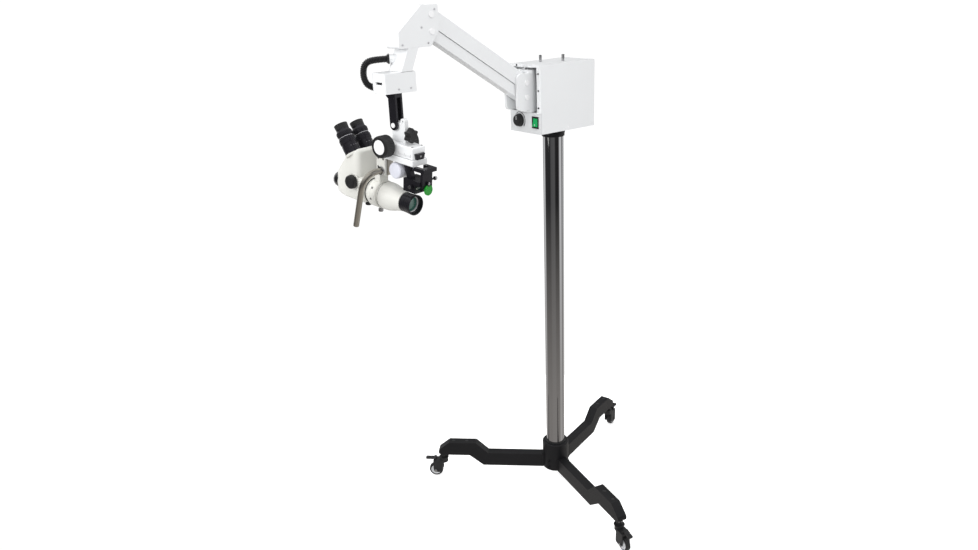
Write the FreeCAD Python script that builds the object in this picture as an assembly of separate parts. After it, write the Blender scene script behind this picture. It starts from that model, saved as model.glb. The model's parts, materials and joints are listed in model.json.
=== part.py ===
import FreeCAD, Part
import math
import os

V = FreeCAD.Vector

# Stereo microscope on a wheeled floor stand, in millimetres.
# Origin: the column axis on the floor. +X is the way the boom reaches, +Z is up.

# Base
LEG_AZIMUTHS = {"left": -43.6, "front": 76.4, "rear": 196.4}
LEG_WIDTH = 32
HUB_RADIUS = 45.5
HUB_BOTTOM = 54
HUB_TOP = 157
LEG_TIP = 420
STEM_REACH = 405
WHEEL_REACH = 435
WHEEL_RADIUS = 25

# Column and housing
COLUMN_RADIUS = 31.5
COLUMN_WALL = 2.5
HOUSING_BOTTOM = 1260
HOUSING = (220, 134, 196)
SHEET = 2
PANEL_HEIGHT = 61
SPINDLE_RADIUS = 5
KNOB_Y = -23
KNOB_Z = HOUSING_BOTTOM + 35
ROCKER_Y = 47

# Boom: a parallelogram of two beams between the yoke and the elbow
ARM_ANGLE = 32.4
ARM_LENGTH = 375
LINK_DROP = 41
YOKE_X = 105
PIVOT_X = 128
PIVOT_Z = 1408
BEAM_HALF = 14.3
COVER_HALF = 20
PIN_RADIUS = 5
RUN_FIT = 0.05
ELBOW_HALF = 31
BRACKET_END = 597

# Head, in its own frame: x along the tilt bolt, y along the optical axis, z up
SWIVEL_X = 551
TILT_Z = 1347
TILT_DROP = 6
HEAD_AZIMUTH = 102
HEAD_PITCH = 7
AXIS_Z = -209
TUBE_RADIUS = 34
BARREL_START = 34
SEAT_RADIUS = 25
EYE_ANGLE = 53.5
EYE_HALF = 28
PINION_Y = -4
PINION_Z = -57.7
PINION_RADIUS = 6
LOCK_Z = -24
HANDLE_X = 80
HANDLE_LEAN = 12
HOSE_RADIUS = 9
HOSE_START = (541.4, -29, 1505)


def box(x0, x1, y0, y1, z0, z1):
    return Part.makeBox(x1 - x0, y1 - y0, z1 - z0, V(x0, y0, z0))


def rod(radius, start, end):
    a = V(*start)
    d = V(*end) - a
    return Part.makeCylinder(radius, d.Length, a, d)


def tube(outer, inner, start, end):
    return rod(outer, start, end).cut(rod(inner, start, end))


def plate_xz(points, y0, y1):
    """An outline of (x, z) points, extruded from y0 to y1."""
    wire = Part.makePolygon([V(x, y0, z) for x, z in points + points[:1]])
    return Part.Face(wire).extrude(V(0, y1 - y0, 0))


def plate_yz(points, x0, x1):
    """An outline of (y, z) points, extruded from x0 to x1."""
    wire = Part.makePolygon([V(x0, y, z) for y, z in points + points[:1]])
    return Part.Face(wire).extrude(V(x1 - x0, 0, 0))


def turned(points, start, axis):
    """An outline of (distance, radius) points, turned about an axis through start."""
    wire = Part.makePolygon([V(r, 0, d) for d, r in points + points[:1]])
    solid = Part.Face(wire).revolve(V(0, 0, 0), V(0, 0, 1), 360)
    turn = FreeCAD.Rotation(V(0, 0, 1), V(*axis))
    return solid.transformed(FreeCAD.Placement(V(*start), turn).toMatrix())


def union(shapes):
    return shapes[0].multiFuse(shapes[1:]).removeSplitter()


def round_edges(shape, radius, along, keep=None):
    """Fillets the straight edges that run along one axis and pass the keep test."""
    edges = []
    for edge in shape.Edges:
        if edge.Curve.TypeId != "Part::GeomLine":
            continue
        way = edge.tangentAt(edge.FirstParameter)
        if abs(abs(way.dot(V(*along))) - 1) < 1e-6 and (keep is None or keep(edge.CenterOfMass)):
            edges.append(edge)
    return shape.makeFillet(radius, edges)


def spun(shape, degrees, centre=(0, 0, 0), axis=(0, 0, 1)):
    out = shape.copy()
    out.rotate(V(*centre), V(*axis), degrees)
    return out


def base_parts():
    column_hole = rod(COLUMN_RADIUS + RUN_FIT, (0, 0, HUB_BOTTOM + 6), (0, 0, HUB_TOP + 1))
    hub = rod(HUB_RADIUS, (0, 0, HUB_BOTTOM), (0, 0, HUB_TOP)).cut(column_hole)
    parts = {"hub": hub}
    outline = [(20, 54), (259, 54), (308, 93), (412, 93), (LEG_TIP, 99), (LEG_TIP, 112),
               (381, 143), (284, 143), (241, 103), (20, 103)]
    half = LEG_WIDTH / 2
    blank = plate_xz(outline, -half, half)
    blank = round_edges(blank, 9, (0, 1, 0), lambda c: c.x > 411 and c.z > 100)
    blank = blank.cut(rod(HUB_RADIUS, (0, 0, 0), (0, 0, 200)))
    bolts = []
    stems = []
    stem_hole = rod(7, (STEM_REACH, 0, 90), (STEM_REACH, 0, 110))
    blank = blank.cut(stem_hole)
    for name, azimuth in LEG_AZIMUTHS.items():
        parts["leg_" + name] = spun(blank, azimuth)
        for z in (68, 90):
            bolts.append(spun(tube(4.5, 2.4, (HUB_RADIUS, 0, z), (HUB_RADIUS + 3, 0, z)), azimuth + 60))
        stem = union([rod(7, (STEM_REACH, 0, 78), (STEM_REACH, 0, 109)),
                      rod(10, (STEM_REACH, 0, 78), (STEM_REACH, 0, 92.9))])
        stems.append(spun(stem, azimuth))
    parts["hub_bolts"] = Part.makeCompound(bolts)
    parts["caster_stems"] = Part.makeCompound(stems)
    return parts


def caster_parts():
    """A twin-cheek swivel caster, its wheel trailing outward from the stem."""
    cx = STEM_REACH
    wheel_x = WHEEL_REACH
    cheeks = box(wheel_x - 26, wheel_x + 8, -15, 15, 18, 66)
    cheeks = round_edges(cheeks, 9, (0, 1, 0), lambda c: c.z < 60)
    cheeks = cheeks.cut(box(wheel_x - 30, wheel_x + 30, -10.4, 10.4, 10, 58))
    top = rod(15, (cx, 0, 58), (cx, 0, 77.5))
    axle = rod(3.5, (wheel_x, -16.5, WHEEL_RADIUS), (wheel_x, 16.5, WHEEL_RADIUS))
    body = union([cheeks, top.cut(box(cx - 20, cx + 20, -10.4, 10.4, 50, 58.2)), axle])
    rim = turned([(-9.5, 3.58), (-9.5, 8), (-6, 9), (-6, 14), (-8, 16), (-8, 18.4), (8, 18.4), (8, 16),
                  (6, 14), (6, 9), (9.5, 8), (9.5, 3.58)], (wheel_x, 0, WHEEL_RADIUS), (0, 1, 0))
    tyre = turned([(-8, 18.4), (-8, 22), (-5, WHEEL_RADIUS), (5, WHEEL_RADIUS), (8, 22), (8, 18.4)],
                  (wheel_x, 0, WHEEL_RADIUS), (0, 1, 0))
    hinge_x = wheel_x + 2
    hinge_z = 70.2
    ears = union([box(hinge_x - 4, hinge_x + 4, 8.3, 10.4, 64, 74),
                  box(hinge_x - 4, hinge_x + 4, -10.4, -8.3, 64, 74)])
    hinge_hole = rod(3 + RUN_FIT, (hinge_x, -20, hinge_z), (hinge_x, 20, hinge_z))
    body = union([body, ears]).cut(hinge_hole)
    pedal = union([box(hinge_x - 3, hinge_x + 34, -8, 8, 68, 72.5),
                   rod(3, (hinge_x, -10, hinge_z), (hinge_x, 10, hinge_z))])
    pedal = round_edges(pedal, 5, (0, 0, 1), lambda c: c.x > hinge_x + 30)
    parts = {}
    for name, azimuth in LEG_AZIMUTHS.items():
        parts["caster_fork_" + name] = spun(body, azimuth)
        parts["caster_rim_" + name] = spun(rim, azimuth)
        parts["caster_tyre_" + name] = spun(tyre, azimuth)
        parts["caster_pedal_" + name] = spun(pedal, azimuth)
    return parts


def column_parts():
    outer = COLUMN_RADIUS
    column = tube(outer, outer - COLUMN_WALL, (0, 0, HUB_BOTTOM + 6), (0, 0, HOUSING_BOTTOM))
    collar = tube(outer + 3.5, outer + RUN_FIT, (0, 0, HOUSING_BOTTOM - 25), (0, 0, HOUSING_BOTTOM))
    return {"column": column, "column_collar": collar}


def housing_parts():
    dx, dy, dz = HOUSING
    hx = dx / 2
    hy = dy / 2
    z0 = HOUSING_BOTTOM
    z1 = z0 + dz
    ledge = z0 + PANEL_HEIGHT
    shell = box(-hx, hx, -hy, hy, z0, z1)
    shell = round_edges(shell, 3, (0, 0, 1))
    shell = shell.cut(box(-hx + SHEET, hx - SHEET, -hy + SHEET, hy - SHEET, z0 - 1, z1 - SHEET))
    recess = box(hx - 5, hx + 5, -hy + 5, hy - 16, ledge, z1 - 7)
    shell = shell.cut(recess).cut(box(hx - 5, hx + 5, -hy - 1, hy + 1, z0 - 1, ledge))
    spindle = rod(SPINDLE_RADIUS + RUN_FIT, (YOKE_X, 0, ledge - 20), (YOKE_X, 0, z1 - SHEET))
    shell = shell.cut(spindle)
    inner_y = hy - SHEET
    frame = [box(-hx + SHEET, hx - 6, -inner_y, inner_y, z0, z0 + 3),
             box(64, 69, -60, 50, z0 + 3, z1 - SHEET),
             box(69, hx - 6, -60, 50, ledge - 9, ledge - 1),
             box(69, hx - SHEET, -34, 34, z1 - 9, z1 - SHEET)]
    core = union(frame).cut(spindle)
    panel = box(hx - 5, hx + SHEET, -hy, hy, z0, ledge)
    panel = round_edges(panel, 2, (0, 0, 1), lambda c: c.x > hx)
    panel = panel.cut(spindle).cut(rod(4, (hx - 9, KNOB_Y, KNOB_Z), (hx + 9, KNOB_Y, KNOB_Z)))
    y0 = ROCKER_Y - 13
    y1 = ROCKER_Y + 13
    panel = panel.cut(box(hx - 9, hx + 9, y0, y1, KNOB_Z - 18, KNOB_Z + 16))
    bezel = box(hx - 5, hx + 5, y0, y1, KNOB_Z - 18, KNOB_Z + 16)
    bezel = bezel.cut(box(hx - 3, hx + 6, y0 + 2, y1 - 2, KNOB_Z - 15, KNOB_Z + 13))
    bezel = bezel.cut(rod(1.5 + RUN_FIT, (hx + 1, y0 + 0.9, KNOB_Z - 1), (hx + 1, y1 - 0.9, KNOB_Z - 1)))
    screws = [rod(2.6, (hx, hy - 8, z), (hx + 1.8, hy - 8, z)) for z in (1336, 1385, 1432)]
    screws.append(rod(2.6, (hx, -34, z1 - 3.5), (hx + 1.8, -34, z1 - 3.5)))
    posts = [rod(4.6, (x, y, z1), (x, y, z1 + 20)) for x, y in ((39, -10), (-14, 30))]
    inlet = box(-hx - 3, -hx, -16, 16, z0 + 22, z0 + 48)
    inlet = round_edges(inlet, 4, (1, 0, 0))
    inlet = inlet.cut(box(-hx - 4, -hx - 1, -11, 11, z0 + 27, z0 + 43))
    return {"housing_shell": shell, "housing_frame": core, "control_panel": panel, "rocker_bezel": bezel,
            "housing_screws": Part.makeCompound(screws), "top_posts": Part.makeCompound(posts),
            "power_inlet": inlet}


def control_parts():
    hx = HOUSING[0] / 2
    knob = turned([(2.6, 0), (2.6, 15), (5, 15), (5, 17), (17, 15), (20, 13), (20, 0)],
                  (hx, KNOB_Y, KNOB_Z), (1, 0, 0))
    knob = union([knob, rod(3.9, (hx - 8, KNOB_Y, KNOB_Z), (hx + 4, KNOB_Y, KNOB_Z))])
    rocker = plate_xz([(hx - 0.5, KNOB_Z - 11), (hx + 6.5, KNOB_Z - 12.5), (hx + 3, KNOB_Z - 1),
                       (hx + 2, KNOB_Z + 10.5), (hx - 0.5, KNOB_Z + 10)], ROCKER_Y - 10.5, ROCKER_Y + 10.5)
    rocker = union([rocker, rod(1.5, (hx + 1, ROCKER_Y - 12, KNOB_Z - 1), (hx + 1, ROCKER_Y + 12, KNOB_Z - 1))])
    return {"brightness_knob": knob, "rocker": rocker}


def arm_points():
    """The four pivots of the parallelogram, as (x, z)."""
    reach = ARM_LENGTH * math.cos(math.radians(ARM_ANGLE))
    rise = ARM_LENGTH * math.sin(math.radians(ARM_ANGLE))
    root = (PIVOT_X, PIVOT_Z)
    tip = (PIVOT_X + reach, PIVOT_Z + rise)
    return root, tip, (root[0], root[1] - LINK_DROP), (tip[0], tip[1] - LINK_DROP)


def pins(points, half):
    shapes = []
    for x, z in points:
        shapes.append(union([rod(PIN_RADIUS, (x, -half, z), (x, half, z)),
                             rod(8, (x, half, z), (x, half + 2.5, z)),
                             rod(8, (x, -half - 2.5, z), (x, -half, z))]))
    return Part.makeCompound(shapes)


def bored(shape, points, reach=60):
    for x, z in points:
        shape = shape.cut(rod(PIN_RADIUS + RUN_FIT, (x, -reach, z), (x, reach, z)))
    return shape


def yoke_parts():
    root, _, low, _ = arm_points()
    cheeks = union([rod(30, (YOKE_X, 0, 1330), (YOKE_X, 0, 1434)), box(YOKE_X, 163, -30, 30, 1330, 1434)])
    cheeks = round_edges(cheeks, 14, (0, 1, 0), lambda c: c.x > 160)
    cheeks = cheeks.cut(box(98, 200, -20.5, 20.5, 1320, 1440))
    discs = []
    for z0, z1 in ((1322.5, 1330), (1434, 1441.5)):
        discs.append(rod(30, (YOKE_X, 0, z0), (YOKE_X, 0, z1)).common(box(60, 121, -40, 40, z0, z1)))
    stubs = [rod(SPINDLE_RADIUS, (YOKE_X, 0, 1306), (YOKE_X, 0, 1323)),
             rod(SPINDLE_RADIUS, (YOKE_X, 0, 1441), (YOKE_X, 0, 1453))]
    yoke = bored(union([cheeks] + discs + stubs), (root, low))
    return {"yoke": yoke, "yoke_pins": pins((root, low), 30)}


def beam_blank(half_height, half_width):
    """A bar with round ends from the origin to ARM_LENGTH along +X."""
    return union([box(0, ARM_LENGTH, -half_width, half_width, -half_height, half_height),
                  rod(half_height, (0, -half_width, 0), (0, half_width, 0)),
                  rod(half_height, (ARM_LENGTH, -half_width, 0), (ARM_LENGTH, half_width, 0))])


def arm_parts():
    root, _, low, _ = arm_points()
    ends = ((0, 0), (ARM_LENGTH, 0))
    cover = beam_blank(COVER_HALF, COVER_HALF)
    cover = cover.cut(box(-40, ARM_LENGTH + 40, -18, 18, -40, COVER_HALF - 2.5))
    bosses = [rod(9, (x, -18, 0), (x, 18, 0)) for x, _ in ends]
    cover = bored(union([cover] + bosses), ends)
    beam = beam_blank(BEAM_HALF, 17.5)
    beam = beam.cut(box(16, ARM_LENGTH - 16, -15, 15, -BEAM_HALF + 2.5, BEAM_HALF - 2.5))
    beam = bored(beam, ends)
    parts = {}
    for name, shape, start in (("arm_cover", cover, root), ("arm_beam", beam, low)):
        shape = spun(shape, -ARM_ANGLE, axis=(0, 1, 0))
        shape.translate(V(start[0], 0, start[1]))
        parts[name] = shape
    return parts


def elbow_parts():
    _, tip, _, low = arm_points()
    outline = [(423, 1633), (474, 1633), (546, 1571), (546, 1531), (450, 1531), (423, 1569)]
    cover = plate_xz(outline, -ELBOW_HALF, ELBOW_HALF)
    cover = round_edges(cover, 5, (0, 1, 0), lambda c: c.x > 430 or c.z > 1600)
    inner = [(400, 1630.5), (473, 1630.5), (543.5, 1569.7), (543.5, 1533.5), (440, 1533.5), (400, 1560)]
    wall = ELBOW_HALF - 2.5
    cover = cover.cut(plate_xz(inner, -wall, wall)).cut(box(400, 459, -wall, wall, 1600, 1640))
    bosses = []
    for x, z in (tip, low):
        for side in (-1, 1):
            bosses.append(rod(9, (x, side * 20.6, z), (x, side * wall, z)))
    cover = bored(union([cover] + bosses), (tip, low))
    drop = plate_xz([(489, 1531), (521, 1531), (545, 1475), (513, 1475)], -ELBOW_HALF, ELBOW_HALF)
    hollow = plate_xz([(492.2, 1532), (517.2, 1532), (542, 1474), (517, 1474)], -wall, wall)
    socket = rod(11, (522, -17.8, 1505), HOSE_START).cut(plate_xz([(480, 1540), (517, 1540), (545, 1474),
                                                                   (480, 1474)], -40, 40))
    drop = union([drop.cut(hollow), socket])
    bracket = box(503, BRACKET_END, -ELBOW_HALF, ELBOW_HALF, 1424, 1475)
    bracket = round_edges(bracket, 5, (0, 0, 1), lambda c: c.x > 560)
    bracket = bracket.cut(box(507, BRACKET_END - 4, -wall + 1, wall - 1, 1438, 1472))
    bracket = bracket.cut(box(BRACKET_END - 5, BRACKET_END + 1, -12, 18, 1447, 1453))
    bracket = bracket.cut(rod(8 + RUN_FIT, (SWIVEL_X, 0, 1420), (SWIVEL_X, 0, 1440)))
    return {"elbow_cover": cover, "elbow_pins": pins((tip, low), ELBOW_HALF), "drop_arm": drop,
            "swivel_bracket": bracket}


def hose_parts():
    """The corrugated cable hose that loops from the drop arm to the bracket."""
    points = [(547.4, -32.463, 1505), (580, -51.278, 1505), (597, -61, 1495), (602, -63.5, 1474),
              (600, -63, 1454), (591, -58, 1438), (576, -44, 1433)]
    route = [V(*point) for point in points]
    edges = []
    start = route[0]
    for before, corner, after in zip(route, route[1:], route[2:]):
        a = before - corner
        b = after - corner
        run = min(a.Length, b.Length)
        half_turn = (math.pi - a.getAngle(b)) / 2
        cut = 0.45 * run
        print("hose bend radius", round(cut / math.tan(half_turn), 1))
        enter = corner + a * (cut / a.Length)
        leave = corner + b * (cut / b.Length)
        towards = (enter + leave) * 0.5 - corner
        radius = cut / math.tan(half_turn)
        centre = corner + towards * ((radius / math.cos(half_turn)) / towards.Length)
        middle = centre + (corner - centre) * (radius / (corner - centre).Length)
        edges.append(Part.LineSegment(start, enter).toShape())
        edges.append(Part.Arc(enter, middle, leave).toShape())
        start = leave
    edges.append(Part.LineSegment(start, route[-1]).toShape())
    path = Part.Wire(edges)
    ring = Part.Wire([Part.makeCircle(HOSE_RADIUS, route[0], route[1] - route[0])])
    hose = path.makePipeShell([ring], True, False)
    print("hose volume / section x length", round(hose.Volume / (math.pi * HOSE_RADIUS ** 2 * path.Length), 3))
    start = V(*HOSE_START)
    along = (route[0] - start).normalize()
    collar = rod(13, tuple(start), tuple(start + along * 4))
    sleeve = rod(10.6, tuple(start + along * 4), tuple(route[0]))
    back = (route[-1] - route[-2]).normalize()
    foot = rod(10.8, tuple(route[-1]), tuple(route[-1] + back * 24))
    foot = foot.cut(box(503, BRACKET_END, -ELBOW_HALF, ELBOW_HALF, 1400, 1475))
    foot = foot.cut(box(480, 620, -80, 80, 1400, 1424.5))
    foot = max(foot.Solids, key=lambda solid: solid.Volume)
    return {"hose": hose, "hose_gland": Part.makeCompound([union([collar, sleeve]), foot])}


def head_place(shape):
    """Carries a shape from the head's own frame to the stand's frame."""
    turn = FreeCAD.Rotation(V(0, 0, 1), HEAD_AZIMUTH - 90).multiply(FreeCAD.Rotation(V(1, 0, 0), -HEAD_PITCH))
    return shape.transformed(FreeCAD.Placement(V(SWIVEL_X, 0, TILT_Z), turn).toMatrix())


def fork_parts():
    """The black fork under the bracket. Its bolt is TILT_DROP below the head's origin."""
    top = 1423.5 - TILT_Z
    low = -TILT_DROP
    slot = box(-6.6, 6.6, -20, 20, -30, top - 12)
    fork = union([box(-13, 13, -13, 13, low, top), rod(13, (-13, 0, low), (13, 0, low))]).cut(slot)
    fork = fork.cut(rod(PIN_RADIUS + RUN_FIT, (-30, 0, low), (30, 0, low)))
    gusset = plate_yz([(-12, top), (-36, top), (-36, top - 4), (-12, top - 26)], -4, 4).cut(
        box(-6.6, 6.6, -13, 13, 0, top - 12))
    spindle = union([rod(8, (0, 0, top), (0, 0, top + 15)), rod(12, (0, 0, top + 15), (0, 0, top + 20))])
    fork = union([fork, gusset, spindle])
    bolt = union([rod(PIN_RADIUS, (-13, 0, low), (13, 0, low)), rod(6.5, (13, 0, low), (16, 0, low)),
                  rod(6.5, (-16, 0, low), (-13, 0, low))])
    turn = FreeCAD.Placement(V(SWIVEL_X, 0, TILT_Z), FreeCAD.Rotation(V(0, 0, 1), HEAD_AZIMUTH - 90))
    parts = {"tilt_fork": fork, "tilt_bolt": bolt}
    return {name: shape.transformed(turn.toMatrix()) for name, shape in parts.items()}


def dovetail(narrow, wide, low, high, y0, y1):
    outline = [(-narrow, low), (narrow, low), (wide, high), (-wide, high)]
    return plate_xz(outline, y0, y1)


def housing_block():
    """The block that hangs from the tilt bolt and carries the rack groove and the pinion."""
    eye_y = TILT_DROP * math.sin(math.radians(HEAD_PITCH))
    eye_z = -TILT_DROP * math.cos(math.radians(HEAD_PITCH))
    lug = union([box(-6.3, 6.3, -10, 12, -48, eye_z), rod(11, (-6.3, eye_y, eye_z), (6.3, eye_y, eye_z)),
                 plate_yz([(0, -48), (38, -48), (38, -30), (35, 8), (10, 2)], -6.3, 6.3),
                 rod(8, (-6.3, 27, 8), (6.3, 27, 8))])
    block = round_edges(box(-24, 24, -26, 82, -78.5, -48), 4, (0, 1, 0), lambda c: c.z > -50)
    block = round_edges(block, 4, (0, 0, 1), lambda c: c.y > 75)
    block = block.cut(dovetail(12.8, 18, -78.6, -63.6, -27, 83))
    pocket = PINION_RADIUS + 1
    block = block.cut(box(-12, 12, PINION_Y - pocket, PINION_Y + pocket, -79, PINION_Z + pocket))
    block = block.cut(rod(4 + RUN_FIT, (-40, PINION_Y, PINION_Z), (40, PINION_Y, PINION_Z)))
    housing = union([lug, block])
    housing = housing.cut(rod(PIN_RADIUS + RUN_FIT, (-30, eye_y, eye_z), (30, eye_y, eye_z)))
    housing = housing.cut(rod(2.5, (-30, 27, 8), (30, 27, 8)))
    return housing.cut(rod(4 + RUN_FIT, (0, 24, LOCK_Z), (0, 50, LOCK_Z)))


def focus_parts():
    lobes = [rod(16, (0, 42, LOCK_Z), (0, 62, LOCK_Z))]
    for i in range(6):
        angle = math.radians(60 * i + 30)
        x = 15 * math.cos(angle)
        z = 15 * math.sin(angle) + LOCK_Z
        lobes.append(rod(5, (x, 42, z), (x, 62, z)))
    knob = union(lobes + [rod(7, (0, 38.4, LOCK_Z), (0, 42, LOCK_Z)), rod(4, (0, 26, LOCK_Z), (0, 39, LOCK_Z))])
    shaft = union([rod(4, (-50, PINION_Y, PINION_Z), (50, PINION_Y, PINION_Z)),
                   rod(PINION_RADIUS, (-9, PINION_Y, PINION_Z), (9, PINION_Y, PINION_Z))])
    grips = []
    for side in (-1, 1):
        outline = [(24.6, 4.1), (24.6, 20), (28.4, 20), (28.4, 28), (30, 29.3), (58, 29.3), (61, 27), (61, 0),
                   (50.5, 0), (50.5, 4.1)]
        grips.append(turned(outline, (0, PINION_Y, PINION_Z), (side, 0, 0)))
    plate = box(-28, 28, -43, 86, -96, -79.5)
    hanger = round_edges(box(-16, 16, -62, -28, -150, -96), 3, (1, 0, 0), lambda c: c.z < -140)
    pad = union([rod(22, (-20, 22, -120), (24, 22, -120)), box(-14, 14, 6, 36, -112, -96)])
    carriage = union([plate, hanger, pad])
    rack = dovetail(12, 17, -79.5, -64.2, -31, 88)
    ring = tube(39.5, TUBE_RADIUS + 0.08, (0, -76, AXIS_Z), (0, -46, AXIS_Z))
    seat = box(-16, 16, -68, -48, -178, -150)
    screw = union([rod(4, (0, -61, AXIS_Z - 46), (0, -61, AXIS_Z - 37)),
                   rod(7, (0, -61, AXIS_Z - 54), (0, -61, AXIS_Z - 45))])
    ring = union([ring, union([seat, screw]).cut(rod(36, (0, -90, AXIS_Z), (0, -40, AXIS_Z)))])
    return {"focus_housing": housing_block(), "tilt_lock_knob": knob, "focus_shaft": shaft,
            "focus_knobs": Part.makeCompound(grips), "focus_carriage": carriage, "focus_rack": rack,
            "ring_clamp": ring, "handle": handle()}


def handle():
    """The bent grip, from the hanger outward and then down."""
    radius = 8.2
    bend = 45
    y = -42
    z = -137
    out = HANDLE_X - bend
    a = rod(radius, (16, y, z), (out, y, z))
    rise = bend * math.sin(math.pi / 4)
    arc = Part.Arc(V(out, y, z), V(out + rise, y, z - bend + rise), V(HANDLE_X, y, z - bend))
    ring = Part.Wire([Part.makeCircle(radius, V(out, y, z), V(1, 0, 0))])
    elbow = Part.Wire([arc.toShape()]).makePipeShell([ring], True, False)
    drop = rod(radius, (HANDLE_X, y, z - bend), (HANDLE_X, y, z - 156))
    return spun(union([a, elbow, drop]), -HANDLE_LEAN, (0, y, z), (1, 0, 0))


def lamp_parts():
    """The lamp holder under the front of the carriage, with a filter that swings on a pin."""
    arm = plate_yz([(42, -96), (56, -96), (72, -125), (72, -136), (56, -136)], 2, 16)
    lamp = union([arm, box(-22, 26, 52, 96, -166, -131), box(-22, 26, 96, 110, -144, -131),
                  box(-16, 20, 108, 116, -150, -100), box(-24, 24, 108, 124, -106, -96),
                  box(-24, -12, 86, 110, -106, -96), box(12, 24, 86, 110, -106, -96)])
    lamp = lamp.cut(rod(13, (2, 86, -149), (2, 97, -149)))
    screws = [union([rod(2.5, (-28, 112, -130), (-14, 112, -130)), rod(5, (-34, 112, -130), (-28, 112, -130))]),
              union([rod(2.5, (26, 84, -148), (29, 84, -148)), rod(6, (29, 84, -148), (36, 84, -148))])]
    lamp = union([lamp] + screws).cut(rod(3 + RUN_FIT, (2, 107, -136), (2, 117, -136)))
    glass = union([rod(14, (2, 118, -154), (2, 122, -154)), box(-2, 6, 118, 122, -144, -134),
                   rod(3, (2, 109, -136), (2, 123, -136)), rod(4.6, (2, 118, -136), (2, 122, -136))])
    return {"lamp_block": lamp, "green_filter": glass}


def eye_axis():
    a = math.radians(EYE_ANGLE)
    return V(0, -math.cos(a), math.sin(a))


def scope_shell():
    """The cast housing: its side outline, narrowed in plan towards the rear port."""
    outline = [(-88, -237), (-200, -237), (-213, -232), (-213, -178), (-166, -128), (-116.4, -91.3),
               (-106, -96), (-104, -156), (-88, -170)]
    inner = [(-92, -233), (-199, -233), (-209, -229), (-209, -180), (-166, -134), (-117, -97.5), (-110, -100),
             (-108, -158), (-92, -172)]
    plan = [(-42, -80), (42, -80), (42, -150), (35, -190), (24, -214), (-24, -214), (-35, -190), (-42, -150)]
    plan_inner = [(-38, -80), (38, -80), (38, -149), (31, -188), (20, -212), (-20, -212), (-31, -188), (-38, -149)]
    solids = []
    for side, top in ((outline, plan), (inner, plan_inner)):
        wire = Part.makePolygon([V(x, y, -260) for x, y in top + top[:1]])
        prism = Part.Face(wire).extrude(V(0, 0, 200))
        solids.append(plate_yz(side, -50, 50).common(prism))
    return solids[0].cut(solids[1])


def scope_parts():
    nose = turned([(0, 30), (0, TUBE_RADIUS), (49, TUBE_RADIUS), (49, 37.5), (58, 38.5), (73, 37.5), (93, 33),
                   (108, 29), (122, 27), (122, 24.1), (114, 24.1), (92, 30), (72, 33), (60, 33), (50, 30)],
                  (0, -88, AXIS_Z), (0, 1, 0))
    opening = rod(26, (0, -93, AXIS_Z), (0, -87, AXIS_Z))
    body = union([scope_shell().cut(opening), nose])
    zoom_y = -126
    zoom_z = -183
    body = body.cut(rod(4 + RUN_FIT, (-60, zoom_y, zoom_z), (60, zoom_y, zoom_z)))
    knob = [rod(4, (-44, zoom_y, zoom_z), (44, zoom_y, zoom_z))]
    for side in (-1, 1):
        knob.append(turned([(42.6, 0), (42.6, 13), (44.5, 19), (57, 19), (59, 17), (59, 0)],
                           (0, zoom_y, zoom_z), (side, 0, 0)))
    barrel = turned([(0, 20), (0, 24), (1.5, 24), (1.5, 26.2), (20, 26.6), (36, 28.2), (40, 28), (40.5, 27.4),
                     (40.5, SEAT_RADIUS), (30, SEAT_RADIUS), (30, 21), (8, 21), (8, 20)],
                    (0, BARREL_START, AXIS_Z), (0, 1, 0))
    lens = turned([(16, 0), (16, 21), (24, 21), (26, 15), (27.5, 0)], (0, BARREL_START, AXIS_Z), (0, 1, 0))
    cap = turned([(0, 0), (0, 23), (16, 23), (24, 20), (31, 12), (34, 0)], (0, -213, -210), (0, -1, 0))
    parts = {"scope_body": body, "zoom_knobs": union(knob), "objective_barrel": barrel,
             "objective_lens": lens, "rear_cap": cap}
    e = eye_axis()
    profile = [(0, 22.5), (26, 22.5), (26, 21.4), (30, 21.4), (30, 23), (44, 23), (44, 21), (52, 21),
               (52, 22.5), (64, 22.5), (68, 18.6), (74, 18.6), (86, 19.4), (86, 16.4), (76, 12), (72, 12),
               (72, 0), (0, 0)]
    for name, x in (("eyepiece_right", EYE_HALF), ("eyepiece_left", -EYE_HALF)):
        start = V(x, -140.7, -109.3) + e * 0.2
        parts[name] = turned(profile, tuple(start), tuple(e))
    return parts


def main():
    os.makedirs("parts", exist_ok=True)
    parts = {}
    for group in (base_parts, caster_parts, column_parts, housing_parts, control_parts, yoke_parts,
                  arm_parts, elbow_parts, hose_parts, fork_parts):
        parts.update(group())
    for group in (focus_parts, lamp_parts, scope_parts):
        parts.update({name: head_place(shape) for name, shape in group().items()})
    for name, shape in parts.items():
        if not shape.isValid():
            print("not valid:", name)
        shape.exportStep("parts/" + name + ".step")
    print(len(parts), "nodes")


main()
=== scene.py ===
import json
import math

import bmesh
import bpy
from mathutils import Matrix, Vector

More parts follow.
